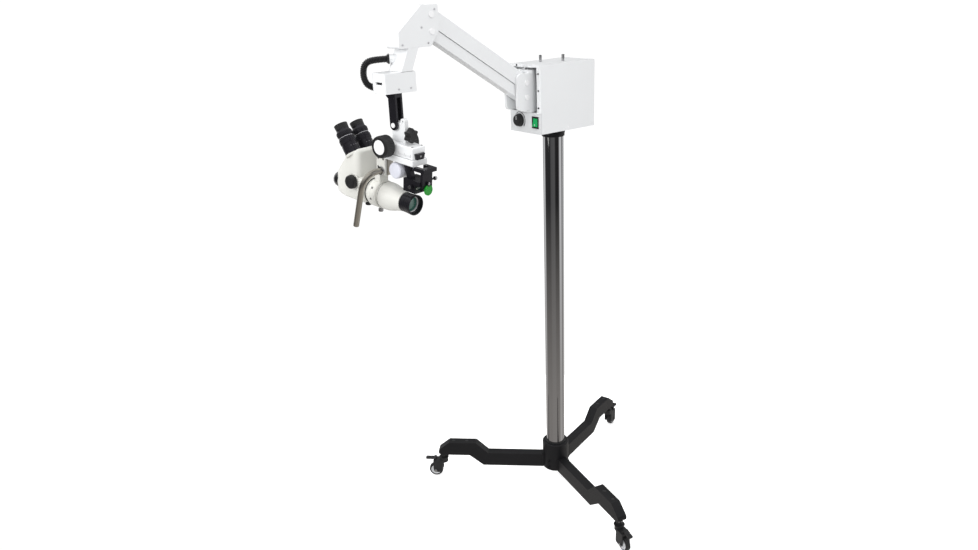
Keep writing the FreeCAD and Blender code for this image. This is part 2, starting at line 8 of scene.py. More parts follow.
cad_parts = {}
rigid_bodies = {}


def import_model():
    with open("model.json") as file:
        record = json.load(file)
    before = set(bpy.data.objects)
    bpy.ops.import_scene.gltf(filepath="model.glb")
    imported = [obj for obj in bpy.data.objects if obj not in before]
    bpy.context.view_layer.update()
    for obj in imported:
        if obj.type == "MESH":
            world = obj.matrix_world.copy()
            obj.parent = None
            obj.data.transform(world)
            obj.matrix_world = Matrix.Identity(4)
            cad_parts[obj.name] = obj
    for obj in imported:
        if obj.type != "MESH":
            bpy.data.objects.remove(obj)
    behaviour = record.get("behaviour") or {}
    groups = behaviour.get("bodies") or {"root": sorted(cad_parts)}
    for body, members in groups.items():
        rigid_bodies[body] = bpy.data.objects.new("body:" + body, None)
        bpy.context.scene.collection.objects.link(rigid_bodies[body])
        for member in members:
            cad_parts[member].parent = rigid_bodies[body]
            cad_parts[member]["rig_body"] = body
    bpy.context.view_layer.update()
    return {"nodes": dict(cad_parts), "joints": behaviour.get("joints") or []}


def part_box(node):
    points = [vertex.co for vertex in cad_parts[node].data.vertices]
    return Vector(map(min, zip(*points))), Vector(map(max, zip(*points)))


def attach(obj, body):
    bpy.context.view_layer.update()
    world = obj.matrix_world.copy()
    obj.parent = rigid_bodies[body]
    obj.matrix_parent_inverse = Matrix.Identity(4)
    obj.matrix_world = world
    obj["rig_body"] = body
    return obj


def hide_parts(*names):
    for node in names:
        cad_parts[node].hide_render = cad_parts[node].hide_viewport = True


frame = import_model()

MM = 0.001
JOINTS = {joint["name"]: joint for joint in frame["joints"]}
LEGS = ("left", "front", "rear")


# ---------------------------------------------------------------- frames

def axes_at(origin, x_axis, y_axis):
    """A placement that carries millimetres in a local frame to metres in the row frame."""
    x = Vector(x_axis).normalized()
    y = Vector(y_axis).normalized()
    z = x.cross(y)
    turn = Matrix((x, y, z)).transposed().to_4x4()
    return Matrix.Translation(Vector(origin)) @ turn @ Matrix.Scale(MM, 4)


# The head's frame: x along the tilt bolt, y along the optical axis, its origin TILT_DROP above the bolt.
STAND = Matrix.Scale(MM, 4)
TILT_DROP = 6
BOLT = Vector(JOINTS["head_tilt"]["pos_m"])
HEAD = axes_at(BOLT + Vector((0, 0, TILT_DROP * MM)), JOINTS["head_tilt"]["axis"],
               JOINTS["focus_slide"]["axis"])
HEAD_BACK = HEAD.inverted()


def head_point(joint):
    """A joint's place in the head's frame, in millimetres."""
    return HEAD_BACK @ Vector(JOINTS[joint]["pos_m"])


AXIS_Z = head_point("scope_roll").z
EYE_ANGLE = math.radians(53.5)
EYE_HALF = 28
EYE_SEAT = Vector((0, -140.7, -109.3))
EYE_WAY = Vector((0, -math.cos(EYE_ANGLE), math.sin(EYE_ANGLE)))
REAR_PORT = (0, -213, -210)
HANDLE_FOOT = Vector((0, -42, -137))

# Places in millimetres: along a leg for the casters, in the row frame for the rest.
STEM = (405, 0, 0)
AXLE = (435, 0, 25)
DIMPLE_CIRCLE = 12.3
COLUMN_SEAT = 31.7
RECESS_FLOOR = 1322
SCALE_RADIUS = 23.6

# Sockets of a colour Mix node, and the steps of a lathe that make one rib and its gap.
MIX_FACTOR, MIX_A, MIX_B, MIX_RESULT = 0, 6, 7, 2
RIB_STEPS = 6


# ---------------------------------------------------------------- materials

def noise_of(nodes, links, vector, scale, detail):
    noise = nodes.new("ShaderNodeTexNoise")
    noise.inputs["Scale"].default_value = scale
    noise.inputs["Detail"].default_value = detail
    links.new(vector, noise.inputs["Vector"])
    return noise.outputs["Fac"]


def finish_of(name, colour, rough, metal=0.0, grain=900.0, bump=0.15, vary=0.08, rough_vary=0.12,
              coat=0.0, sheen=0.0, stretch=(1, 1, 1), blotch=14.0, **sockets):
    """A surface with a fine grain, slow colour drift, and patchy roughness."""
    mat = bpy.data.materials.new(name)
    mat.use_nodes = True
    nodes = mat.node_tree.nodes
    links = mat.node_tree.links
    shader = nodes["Principled BSDF"]
    shader.inputs["Metallic"].default_value = metal
    shader.inputs["Coat Weight"].default_value = coat
    shader.inputs["Coat Roughness"].default_value = 0.12
    shader.inputs["Sheen Weight"].default_value = sheen
    for socket, value in sockets.items():
        shader.inputs[socket.replace("_", " ")].default_value = value
    place = nodes.new("ShaderNodeTexCoord")
    scale = nodes.new("ShaderNodeMapping")
    scale.inputs["Scale"].default_value = stretch
    links.new(place.outputs["Object"], scale.inputs["Vector"])
    slow = noise_of(nodes, links, place.outputs["Object"], blotch, 4)
    fine = noise_of(nodes, links, scale.outputs["Vector"], grain, 3)
    ramp = nodes.new("ShaderNodeMix")
    ramp.data_type = "RGBA"
    dark = [max(0.0, c * (1 - vary)) for c in colour]
    light = [min(1.0, c * (1 + vary)) for c in colour]
    ramp.inputs[MIX_A].default_value = (*dark, 1)
    ramp.inputs[MIX_B].default_value = (*light, 1)
    links.new(slow, ramp.inputs[MIX_FACTOR])
    links.new(ramp.outputs[MIX_RESULT], shader.inputs["Base Color"])
    gloss = nodes.new("ShaderNodeMapRange")
    gloss.inputs["To Min"].default_value = max(0.02, rough * (1 - rough_vary))
    gloss.inputs["To Max"].default_value = min(1.0, rough * (1 + rough_vary))
    links.new(fine, gloss.inputs["Value"])
    links.new(gloss.outputs["Result"], shader.inputs["Roughness"])
    relief = nodes.new("ShaderNodeBump")
    relief.inputs["Strength"].default_value = bump
    relief.inputs["Distance"].default_value = 0.0004
    links.new(fine, relief.inputs["Height"])
    links.new(relief.outputs["Normal"], shader.inputs["Normal"])
    return mat


WHITE = finish_of("white_paint", (0.77, 0.78, 0.79), 0.34, grain=700, bump=0.06, vary=0.015, coat=0.25)
CREAM = finish_of("cream_paint", (0.67, 0.668, 0.63), 0.38, grain=1100, bump=0.12, vary=0.03, coat=0.15)
BLACK_PAINT = finish_of("black_powder", (0.0085, 0.0085, 0.0095), 0.40, grain=1500, bump=0.3, vary=0.12,
                        Specular_IOR_Level=0.22)
CHROME = finish_of("polished_column", (0.46, 0.46, 0.47), 0.06, 1.0, grain=60, bump=0.01, vary=0.03,
                   rough_vary=0.4, stretch=(1, 1, 0.05))
SATIN = finish_of("satin_steel", (0.50, 0.475, 0.42), 0.36, 1.0, grain=1600, bump=0.12, vary=0.06,
                  stretch=(1, 1, 0.08))
STEEL = finish_of("turned_steel", (0.58, 0.58, 0.59), 0.24, 1.0, grain=1800, bump=0.08, vary=0.05)
ANODISED = finish_of("black_anodised", (0.022, 0.021, 0.026), 0.24, 0.5, grain=2200, bump=0.12, vary=0.15)
MATT_BLACK = finish_of("matt_black_plastic", (0.013, 0.013, 0.014), 0.45, grain=1500, bump=0.25, vary=0.1)
GLOSS_BLACK = finish_of("gloss_black_plastic", (0.012, 0.012, 0.013), 0.12, grain=300, bump=0.01, coat=0.6)
RUBBER = finish_of("black_rubber", (0.014, 0.014, 0.015), 0.68, grain=1300, bump=0.3, vary=0.1, sheen=0.1)
HOSE_SKIN = finish_of("hose_skin", (0.013, 0.013, 0.014), 0.42, grain=1500, bump=0.15, vary=0.1, coat=0.2)
PANEL_GREY = finish_of("panel_grey", (0.66, 0.67, 0.68), 0.42, grain=1200, bump=0.1, vary=0.02)
WHITE_CAP = finish_of("white_plastic", (0.84, 0.84, 0.85), 0.28, grain=900, bump=0.04, vary=0.01, coat=0.3)
# Painted shade: a darker, bluish copy of the white plastic, used for the white round cap on the carriage.
SHADED_WHITE_CAP = finish_of("white_cap_painted_shade", (0.66, 0.67, 0.74), 0.3, grain=900, bump=0.04, vary=0.02, coat=0.4)
WHEEL_GREY = finish_of("wheel_plastic", (0.50, 0.51, 0.52), 0.4, grain=1100, bump=0.12, vary=0.04)
# Painted shade: a near-black material laid over vent slots, seams and grooves, standing in for the shade
# inside the gaps.
PAINTED_GAP_SHADE = finish_of("painted_gap_shade", (0.006, 0.006, 0.006), 0.8, grain=500, bump=0.05)
PRINT = finish_of("printed_mark", (0.03, 0.03, 0.035), 0.5, grain=900, bump=0.02)
SILVER_MARK = finish_of("silver_mark", (0.62, 0.62, 0.64), 0.35, 0.6, grain=1800, bump=0.05)
GREEN_LAMP = finish_of("lit_green", (0.01, 0.20, 0.06), 0.18, grain=800, bump=0.02, coat=0.5,
                       Emission_Color=(0.01, 0.32, 0.09, 1), Emission_Strength=0.55)
# Green filter glass with a painted glow: its emission makes the glass shine green though no lamp lights it
# in the scene.
GREEN_GLASS_PAINTED_GLOW = finish_of("green_glass", (0.015, 0.36, 0.03), 0.06, grain=300, bump=0.0, vary=0.05, coat=0.5,
                        Transmission_Weight=0.6, IOR=1.5, Emission_Color=(0.0, 0.3, 0.02, 1),
                        Emission_Strength=0.2)
LENS = finish_of("coated_lens", (0.05, 0.16, 0.13), 0.03, grain=300, bump=0.0, vary=0.1, coat=1.0,
                 Transmission_Weight=0.35, IOR=1.6)


# ---------------------------------------------------------------- mesh tools

def smooth(mesh, degrees=32):
    for polygon in mesh.polygons:
        polygon.use_smooth = True
    mesh.set_sharp_from_angle(angle=math.radians(degrees))


def add_bevel(piece, width, segments=3, degrees=30):
    bevel = piece.modifiers.new("edge_round", "BEVEL")
    bevel.width = width * MM
    bevel.segments = segments
    bevel.limit_method = "ANGLE"
    bevel.angle_limit = math.radians(degrees)
    bevel.harden_normals = True


def build(name, bm, material, body, place=STAND, bevel=0.0, segments=3, replaces=(), sharp=32, degrees=30):
    """Turns a bmesh in local millimetres into a piece that rides on a body."""
    bmesh.ops.recalc_face_normals(bm, faces=bm.faces)
    mesh = bpy.data.meshes.new(name)
    bm.to_mesh(mesh)
    bm.free()
    mesh.transform(place)
    smooth(mesh, sharp)
    mesh.materials.append(material)
    piece = bpy.data.objects.new(name, mesh)
    bpy.context.scene.collection.objects.link(piece)
    if bevel:
        add_bevel(piece, bevel, segments, degrees)
    if body:
        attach(piece, body)
    if replaces:
        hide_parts(*replaces)
    return piece


def refine(node, material, bevel=0.6, segments=3):
    """A CAD node's shape with its seams merged and its edges rounded."""
    source = frame["nodes"][node]
    bm = bmesh.new()
    bm.from_mesh(source.data)
    bmesh.ops.remove_doubles(bm, verts=bm.verts, dist=1e-6)
    bmesh.ops.dissolve_limit(bm, angle_limit=math.radians(0.4), verts=bm.verts, edges=bm.edges)
    return build(node + "_skin", bm, material, source["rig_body"], Matrix.Identity(4), bevel,
                 segments, [node])


def ring_rows(bm, rows, closed):
    faces = list(zip(rows, rows[1:]))
    if closed:
        faces.append((rows[-1], rows[0]))
    for a, b in faces:
        if len(a) == 1 and len(b) == 1:
            continue
        count = max(len(a), len(b))
        for i in range(count):
            j = (i + 1) % count
            if len(a) == 1:
                bm.faces.new((a[0], b[j], b[i]))
            elif len(b) == 1:
                bm.faces.new((a[i], a[j], b[0]))
            else:
                bm.faces.new((a[i], a[j], b[j], b[i]))


def lathe(name, profile, origin, axis, material, body, place=STAND, steps=96, ribs=0, rib_depth=0.5,
          closed=False, bevel=0.35, replaces=()):
    """Turns (distance, radius) or (distance, radius, ribbed) points about an axis, in millimetres."""
    bm = bmesh.new()
    turn = Vector((0, 0, 1)).rotation_difference(Vector(axis).normalized()).to_matrix()
    if ribs:
        steps = ribs * RIB_STEPS
    rows = []
    for d, r, *ribbed in profile:
        if r == 0:
            rows.append([bm.verts.new(Vector(origin) + turn @ Vector((0, 0, d)))])
            continue
        row = []
        for i in range(steps):
            a = 2 * math.pi * i / steps
            radius = r
            if ribbed and ribbed[0] and i % RIB_STEPS < RIB_STEPS // 2:
                radius = r + rib_depth
            point = Vector((radius * math.cos(a), radius * math.sin(a), d))
            row.append(bm.verts.new(Vector(origin) + turn @ point))
        rows.append(row)
    ring_rows(bm, rows, closed)
    return build(name, bm, material, body, place, bevel, 2, replaces)


def prism(name, outline, low, high, axis, material, body, place=STAND, bevel=1.0, segments=3, replaces=()):
    """An outline in the two other axes, extruded along "x" or "z"."""
    bm = bmesh.new()
    order = {"x": lambda u, v, w: (w, u, v), "z": lambda u, v, w: (u, v, w)}[axis]
    bottom = [bm.verts.new(order(u, v, low)) for u, v in outline]
    top = [bm.verts.new(order(u, v, high)) for u, v in outline]
    bm.faces.new(bottom)
    bm.faces.new(top)
    for i in range(len(outline)):
        j = (i + 1) % len(outline)
        bm.faces.new((bottom[i], bottom[j], top[j], top[i]))
    return build(name, bm, material, body, place, bevel, segments, replaces)


def block(name, low, high, material, body, place=STAND, bevel=1.0, segments=3):
    outline = [(low[0], low[1]), (high[0], low[1]), (high[0], high[1]), (low[0], high[1])]
    return prism(name, outline, low[2], high[2], "z", material, body, place, bevel, segments)


def rounded(outline, radius, steps=6):
    """An outline with each corner replaced by an arc."""
    points = []
    count = len(outline)
    for i, corner in enumerate(outline):
        c = Vector(corner)
        before = (Vector(outline[i - 1]) - c).normalized()
        after = (Vector(outline[(i + 1) % count]) - c).normalized()
        half = before.angle(after) / 2
        reach = radius / math.tan(half)
        start = c + before * reach
        end = c + after * reach
        centre = c + (before + after).normalized() * (radius / math.sin(half))
        a = start - centre
        swing = a.angle_signed(end - centre)
        for k in range(steps + 1):
            t = -swing * k / steps
            p = centre + Matrix.Rotation(t, 2) @ a
            points.append((p.x, p.y))
    return points


def screw(name, centre, axis, radius, material, body, place=STAND, height=1.6):
    """A button-head screw with a socket."""
    profile = [(-0.4, 0), (-0.4, radius), (height * 0.35, radius), (height * 0.8, radius * 0.8),
               (height, radius * 0.52), (height, radius * 0.45), (height * 0.3, radius * 0.42),
               (height * 0.3, 0)]
    return lathe(name, profile, centre, axis, material, body, place, steps=36, bevel=0.15)


def sweep(name, path, radii, material, body, replaces=(), steps=48, place=STAND, bevel=0.0):
    """A round tube through points in local millimetres, with one radius for each point."""
    bm = bmesh.new()
    points = [Vector(p) for p in path]
    rows = []
    side = None
    for i, p in enumerate(points):
        way = (points[min(i + 1, len(points) - 1)] - points[max(i - 1, 0)]).normalized()
        if side is None:
            side = way.orthogonal().normalized()
        side = (side - way * side.dot(way)).normalized()
        other = way.cross(side)
        rows.append([bm.verts.new(p + (side * math.cos(2 * math.pi * k / steps)
                                       + other * math.sin(2 * math.pi * k / steps)) * radii[i])
                     for k in range(steps)])
    ring_rows(bm, rows, False)
    bm.faces.new(rows[0])
    bm.faces.new(rows[-1])
    return build(name, bm, material, body, place, bevel, 3, replaces)


def spline_points(route, samples=48):
    """Points in metres along a smooth curve whose control points are the route."""
    data = bpy.data.curves.new("route", "CURVE")
    data.dimensions = "3D"
    spline = data.splines.new("NURBS")
    spline.points.add(len(route) - 1)
    for point, place in zip(spline.points, route):
        point.co = (*place, 1)
    spline.order_u = 3
    spline.use_endpoint_u = True
    spline.resolution_u = samples
    carrier = bpy.data.objects.new("route", data)
    bpy.context.scene.collection.objects.link(carrier)
    mesh = bpy.data.meshes.new_from_object(carrier)
    points = [v.co.copy() for v in mesh.vertices]
    bpy.data.objects.remove(carrier)
    return points


def even_steps(points, spacing):
    """A polyline's points again at an even spacing, and its length."""
    length = sum((b - a).length for a, b in zip(points, points[1:]))
    step = length / int(length / spacing)
    path = []
    walked = 0.0
    target = 0.0
    for a, b in zip(points, points[1:]):
        run = (b - a).length
        while target <= walked + run + 1e-9:
            path.append(a.lerp(b, (target - walked) / run))
            target += step
        walked += run
    return path, length


def leg_frame(name):
    """Local x runs outward along a leg, z up."""
    stem = Vector(JOINTS["swivel_" + name]["pos_m"])
    return axes_at((0, 0, 0), (stem.x, stem.y, 0), (-stem.y, stem.x, 0))


# ---------------------------------------------------------------- base and casters

def make_base():
    lo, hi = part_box("hub")
    hub_r = hi.x / MM
    z0 = lo.z / MM
    z1 = hi.z / MM
    lathe("hub_casting", [(z0, 0), (z0, hub_r - 2), (z0 + 2, hub_r), (z1 - 3, hub_r), (z1, hub_r - 3),
                          (z1, 34.5), (z1 - 3, 34), (z1 - 3, COLUMN_SEAT), (z0 + 7, COLUMN_SEAT),
                          (z0 + 7, 0)],
          (0, 0, 0), (0, 0, 1), BLACK_PAINT, "stand", steps=128, replaces=["hub"], bevel=0.8)
    lathe("column_seal", [(z1, COLUMN_SEAT), (z1 + 5, COLUMN_SEAT), (z1 + 5, 33.4), (z1, 34.4)], (0, 0, 0),
          (0, 0, 1), RUBBER, "stand", closed=True)
    for name in LEGS:
        refine("leg_" + name, BLACK_PAINT, 3.2, 4)
        place = leg_frame(name)
        block("leg_weld_" + name, (40, -17.6, 55.5), (47.5, 17.6, 101.5), BLACK_PAINT, "stand", place, 1.4)
        lathe("stem_washer_" + name, [(90.6, 7), (90.6, 11.5), (92.8, 11.5), (92.8, 7)], STEM, (0, 0, 1),
              STEEL, "stand", place, closed=True)
        for x in (318, 366):
            lathe("leg_plug_%s_%d" % (name, x), [(142.6, 0), (142.6, 6), (143.9, 5.4), (144.2, 0)],
                  (x, 0, 0), (0, 0, 1), MATT_BLACK, "stand", place, steps=40)
        make_caster(name, place)
    refine("caster_stems", MATT_BLACK, 0.5)
    refine("hub_bolts", BLACK_PAINT, 0.3)


def make_caster(name, place):
    body = "caster_" + name
    refine("caster_fork_" + name, MATT_BLACK, 2.0, 3)
    lathe("caster_race_" + name, [(75.2, 9), (75.2, 17), (76.4, 17.6), (77.3, 17), (77.3, 9)], STEM,
          (0, 0, 1), MATT_BLACK, body, place, closed=True)
    for side in (-1, 1):
        lathe("axle_nut_%s_%d" % (name, side > 0),
              [(14.8, 0), (14.8, 5.5), (17.6, 5.5), (18.4, 4.4), (18.4, 0)],
              AXLE, (0, side, 0), STEEL, body, place, steps=6, bevel=0.4)
    rim = [(-9.4, 3.6), (-9.4, 7.4), (-6.5, 8.6), (-5, 10), (-5, 14.5), (-7.4, 16.5), (-8, 18.6),
           (8, 18.6), (7.4, 16.5), (5, 14.5), (5, 10), (6.5, 8.6), (9.4, 7.4), (9.4, 3.6)]
    wheel = "wheel_" + name
    lathe("wheel_hub_" + name, rim, AXLE, (0, 1, 0), WHEEL_GREY, wheel, place, closed=True,
          replaces=["caster_rim_" + name])
    tread = [(-8.2, 18.3), (-8.4, 21.5), (-7, 23.8), (-4.5, 24.9), (-3.4, 24.9), (-3, 24.3), (-2.4, 24.3),
             (-2, 25), (2, 25), (2.4, 24.3), (3, 24.3), (3.4, 24.9), (4.5, 24.9), (7, 23.8), (8.4, 21.5),
             (8.2, 18.3)]
    lathe("wheel_tyre_" + name, tread, AXLE, (0, 1, 0), RUBBER, wheel, place, closed=True, bevel=0.2,
          replaces=["caster_tyre_" + name])
    for i in range(6):
        a = math.radians(60 * i)
        centre = (AXLE[0] + DIMPLE_CIRCLE * math.cos(a), 0, AXLE[2] + DIMPLE_CIRCLE * math.sin(a))
        for side in (-1, 1):
            lathe("wheel_dimple_%s_%d_%d" % (name, i, side > 0),
                  [(4.9, 2.3), (5.6, 2.3), (5.6, 1.5), (4.9, 1.5)],
                  centre, (0, side, 0), WHEEL_GREY, wheel, place, steps=24, closed=True, bevel=0.15)
    refine("caster_pedal_" + name, MATT_BLACK, 1.2, 3)
    for i in range(4):
        x = 452 + 4.5 * i
        block("pedal_grip_%s_%d" % (name, i), (x, -6.5, 72.2), (x + 1.8, 6.5, 73.2), MATT_BLACK,
              "pedal_" + name, place, 0.4, 2)


# ---------------------------------------------------------------- column and housing

def make_column():
    lo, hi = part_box("column")
    r = hi.x / MM
    z0 = lo.z / MM
    z1 = hi.z / MM
    lathe("column_tube", [(z0, r - 2.5), (z0, r), (z1, r), (z1, r - 2.5)], (0, 0, 0), (0, 0, 1), CHROME,
          "stand", steps=192, closed=True, replaces=["column"])
    lo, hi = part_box("column_collar")
    z0 = lo.z / MM
    z1 = hi.z / MM
    outer = hi.x / MM
    lathe("collar_ring", [(z0, r + 0.1), (z0, outer - 1.5), (z0 + 1.5, outer), (z1 - 2, outer), (z1, outer),
                          (z1, r + 0.1)], (0, 0, 0), (0, 0, 1), BLACK_PAINT, "stand", steps=128,
                          closed=True,
          replaces=["column_collar"])
    for i in range(3):
        a = math.radians(20 + 120 * i)
        way = (math.cos(a), math.sin(a), 0)
        screw("collar_screw_%d" % i, (way[0] * outer, way[1] * outer, z0 + 12), way, 3, STEEL, "stand",
              height=1.4)


def make_housing():
    refine("housing_shell", WHITE, 1.6, 4)
    refine("housing_frame", WHITE, 0.4, 2)
    refine("control_panel", PANEL_GREY, 1.0, 3)
    refine("rocker_bezel", MATT_BLACK, 0.8, 3)
    refine("housing_screws", ANODISED, 0.4, 2)
    refine("top_posts", STEEL, 0.5, 2)
    refine("power_inlet", MATT_BLACK, 0.7, 2)
    lo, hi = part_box("housing_shell")
    x0, y0, z0 = (v / MM for v in lo)
    x1, y1, z1 = (v / MM for v in hi)
    for side, y in ((-1, y0), (1, y1)):
        for x in (x0 + 12, 0, x1 - 12):
            screw("side_screw_%d_%d" % (side > 0, x), (x, y, z0 + 9), (0, side, 0), 2.6, WHITE_CAP, "stand",
                  height=1.2)
    for y in (-50, 50):
        for z in (z0 + 12, z1 - 12):
            screw("rear_screw_%d_%d" % (y > 0, z), (x0, y, z), (-1, 0, 0), 2.6, STEEL, "stand", height=1.2)
    # The rear vent slots are thin near-black prisms on the back face: painted shade standing in for the
    # dark inside the slots.
    for i in range(9):
        z = z1 - 52 - 7 * i
        prism("vent_%d" % i, rounded([(-34, z - 1.6), (34, z - 1.6), (34, z + 1.6), (-34, z + 1.6)], 1.5,
                                     4),
              x0 - 0.25, x0 + 0.4, "x", PAINTED_GAP_SHADE, "stand", bevel=0.0)
    for i, x in enumerate((-6, 0, 6)):
        block("inlet_pin_%d" % i, (x0 - 2.6, x - 1.2, z0 + 32), (x0 - 0.6, x + 1.2, z0 + 38), STEEL,
              "stand", bevel=0.2)
    # Three small blocks, brighter than the white paint, on the top plate near its front edge: painted
    # highlights standing in for glints.
    for i in range(3):
        block("top_mark_%d" % i, (x1 - 16, 8 + 12 * i, z1 - 0.1), (x1 - 11, 15 + 12 * i, z1 + 0.35),
              WHITE_CAP, "stand", bevel=0.1)
    # A thin near-black strip along the flange line: painted shade in the seam.
    prism("flange_seam_shade", [(y1 - 16.4, 1321.5), (y1 - 15.6, 1321.5), (y1 - 15.6, z1 - 6),
                          (y1 - 16.4, z1 - 6)],
          x1 - 1.9, x1 + 0.25, "x", PAINTED_GAP_SHADE, "stand", bevel=0.0)
    recess_back = [(-58, RECESS_FLOOR), (48, RECESS_FLOOR), (48, z1 - 9.5), (-58, z1 - 9.5)]
    prism("recess_back", recess_back, 69.2, 70.4, "x", WHITE, "stand", bevel=0.3)
    for side, y in ((0, -59), (1, 49)):
        block("recess_cheek_%d" % side, (70, y, RECESS_FLOOR), (x1 - 3, y + 1.5, z1 - 9), WHITE, "stand",
              bevel=0.3)
    for name, z, height, radius in (("low", 1321.0, 1.4, 16), ("high", 1441.6, 5.2, 12)):
        lathe("slew_race_" + name, [(0, 5.4), (0, radius), (height, radius), (height, 5.4)], (105, 0, z),
              (0, 0, 1), STEEL, "stand", closed=True)


def make_controls():
    knob = JOINTS["brightness_turn"]["pos_m"]
    y = knob[1] / MM
    z = knob[2] / MM
    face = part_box("control_panel")[1].x / MM
    profile = [(0.8, 0), (0.8, 19), (2.8, 19.4), (4, 17.6), (5, 17.2, 1), (12.6, 16, 1), (14, 15),
               (15, 13.6), (15, 0)]
    lathe("brightness_grip", profile, (face, y, z), (1, 0, 0), MATT_BLACK, "brightness_knob", ribs=24,
          rib_depth=0.7, replaces=["brightness_knob"])
    block("knob_line", (face + 14.6, y - 0.8, z + 2), (face + 15.5, y + 0.8, z + 13), WHITE_CAP,
          "brightness_knob", bevel=0.2)
    inner = []
    outer = []
    for i in range(29):
        a = math.radians(-135 + 270 * i / 28)
        width = 0.5 + 2.4 * i / 28
        for edge, r in ((inner, SCALE_RADIUS - width / 2), (outer, SCALE_RADIUS + width / 2)):
            edge.append((y + r * math.sin(a), z + r * math.cos(a)))
    prism("brightness_scale", inner + outer[::-1], face - 0.1, face + 0.25, "x", PRINT, "stand", bevel=0.0)
    refine("rocker", GREEN_LAMP, 0.7, 3)
    zr = JOINTS["rocker_tip"]["pos_m"][2] / MM
    block("rocker_on_mark", (116.0, 46.3, zr - 9), (116.75, 47.7, zr - 4.5), WHITE_CAP, "rocker",
          bevel=0.05)
    block("panel_lip", (face - 4, -66.5, 1319.4), (face + 0.6, 66.5, 1321.6), PANEL_GREY, "stand",
          bevel=0.5)


# ---------------------------------------------------------------- boom

def make_boom():
    refine("yoke", WHITE, 1.6, 4)
    refine("arm_cover", WHITE, 1.5, 4)
    refine("arm_beam", WHITE, 1.5, 4)
    refine("elbow_cover", WHITE, 1.5, 4)
    refine("drop_arm", WHITE, 1.6, 4)
    refine("swivel_bracket", WHITE, 1.6, 4)
    refine("yoke_pins", WHITE_CAP, 0.6, 3)
    refine("elbow_pins", WHITE_CAP, 0.6, 3)
    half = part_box("elbow_cover")[1].y / MM
    for side in (-1, 1):
        for i, (x, z) in enumerate(((434, 1621), (476, 1579), (536, 1540), (458, 1540))):
            screw("elbow_screw_%d_%d" % (side > 0, i), (x, side * half, z), (0, side, 0), 2.8, SILVER_MARK,
                  "elbow", height=1.2)
        for i, (x, z) in enumerate(((520, 1434), (556, 1434))):
            screw("bracket_screw_%d_%d" % (side > 0, i), (x, side * half, z), (0, side, 0), 2.6,
                  SILVER_MARK, "elbow", height=1.2)
    # A thin near-black band around the bracket: painted shade in its seam.
    block("bracket_seam_shade", (512.5, -half - 0.2, 1474.6), (545.4, half + 0.2, 1475.3), PAINTED_GAP_SHADE, "elbow",
          bevel=0.0)
    make_hose()


def make_hose():
    route = [(547.4, -32.463, 1505), (580, -51.278, 1505), (597, -61, 1495), (602, -63.5, 1474),
             (600, -63, 1454), (591, -58, 1438), (576, -44, 1433)]
    route = [tuple(c * MM for c in p) for p in route]
    path, length = even_steps(spline_points(route), 0.5 * MM)
    crest = 8.95
    groove = 1.6
    pitch = 8
    radii = [crest - groove * (0.5 + 0.5 * math.cos(2 * math.pi * i / pitch)) ** 1.5
             for i in range(len(path))]
    hose = sweep("corrugated_hose", [p / MM for p in path], radii, HOSE_SKIN, "elbow", ["hose"], 40)
    refine("hose_gland", MATT_BLACK, 0.8, 3)
    lathe("hose_gland_nut", [(0.6, 10), (0.6, 13.4), (3.2, 13.4), (3.8, 12.6), (3.8, 10)],
          (541.4, -29, 1505), (35, -20.2, 0), MATT_BLACK, "elbow", steps=6, closed=True, bevel=0.5)


# ---------------------------------------------------------------- fork, focus block and knobs

def make_fork():
    refine("tilt_fork", ANODISED, 1.6, 4)
    refine("tilt_bolt", WHITE_CAP, 0.9, 3)


def make_focus():
    refine("focus_housing", WHITE, 1.6, 4)
    refine("focus_rack", ANODISED, 0.4, 2)
    refine("focus_shaft", STEEL, 0.4, 2)
    pinion = head_point("focus_turn")
    for side in (-1, 1):
        tag = "right" if side > 0 else "left"
        body = [(24.8, 4.2), (24.8, 19.8), (28.6, 19.8), (28.6, 26.8), (29.6, 28.2), (30.6, 28.4, 1),
                (55, 28.4, 1), (56.4, 28.8), (59.6, 27.8), (60.6, 26.4), (60.6, 20.4), (59.4, 19.8),
                (50.6, 19.8), (50.6, 4.2)]
        piece = lathe("focus_grip_" + tag, body, (0, pinion.y, pinion.z), (side, 0, 0), MATT_BLACK,
                      "focus_drive", HEAD, ribs=40, rib_depth=0.7, closed=True)
        if side > 0:
            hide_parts("focus_knobs")
        lathe("focus_cap_" + tag, [(50.5, 0), (50.5, 19.4), (59.8, 19.4), (60.8, 18.6), (61, 0)],
              (0, pinion.y, pinion.z), (side, 0, 0), WHITE_CAP, "focus_drive", HEAD)
    for i in range(11):
        y = 30 + 4.5 * i
        height = 8 if i % 5 == 0 else 5
        block("scale_line_%d" % i, (23.9, y, -74), (24.25, y + 0.5, -74 + height), PRINT, "focus_housing",
              HEAD, 0.0)
    for i, (x, y) in enumerate(((-17, 74), (17, 74), (17, -14), (-17, -14))):
        screw("block_screw_%d" % i, (x, y, -48.2), (0, 0, 1), 3, STEEL, "focus_housing", HEAD)
    screw("rack_end_screw", (0, 88, -72), (0, 1, 0), 3.4, STEEL, "carriage", HEAD)
    make_carriage()
    make_lobed_knob()
    make_ring_clamp()
    make_handle()


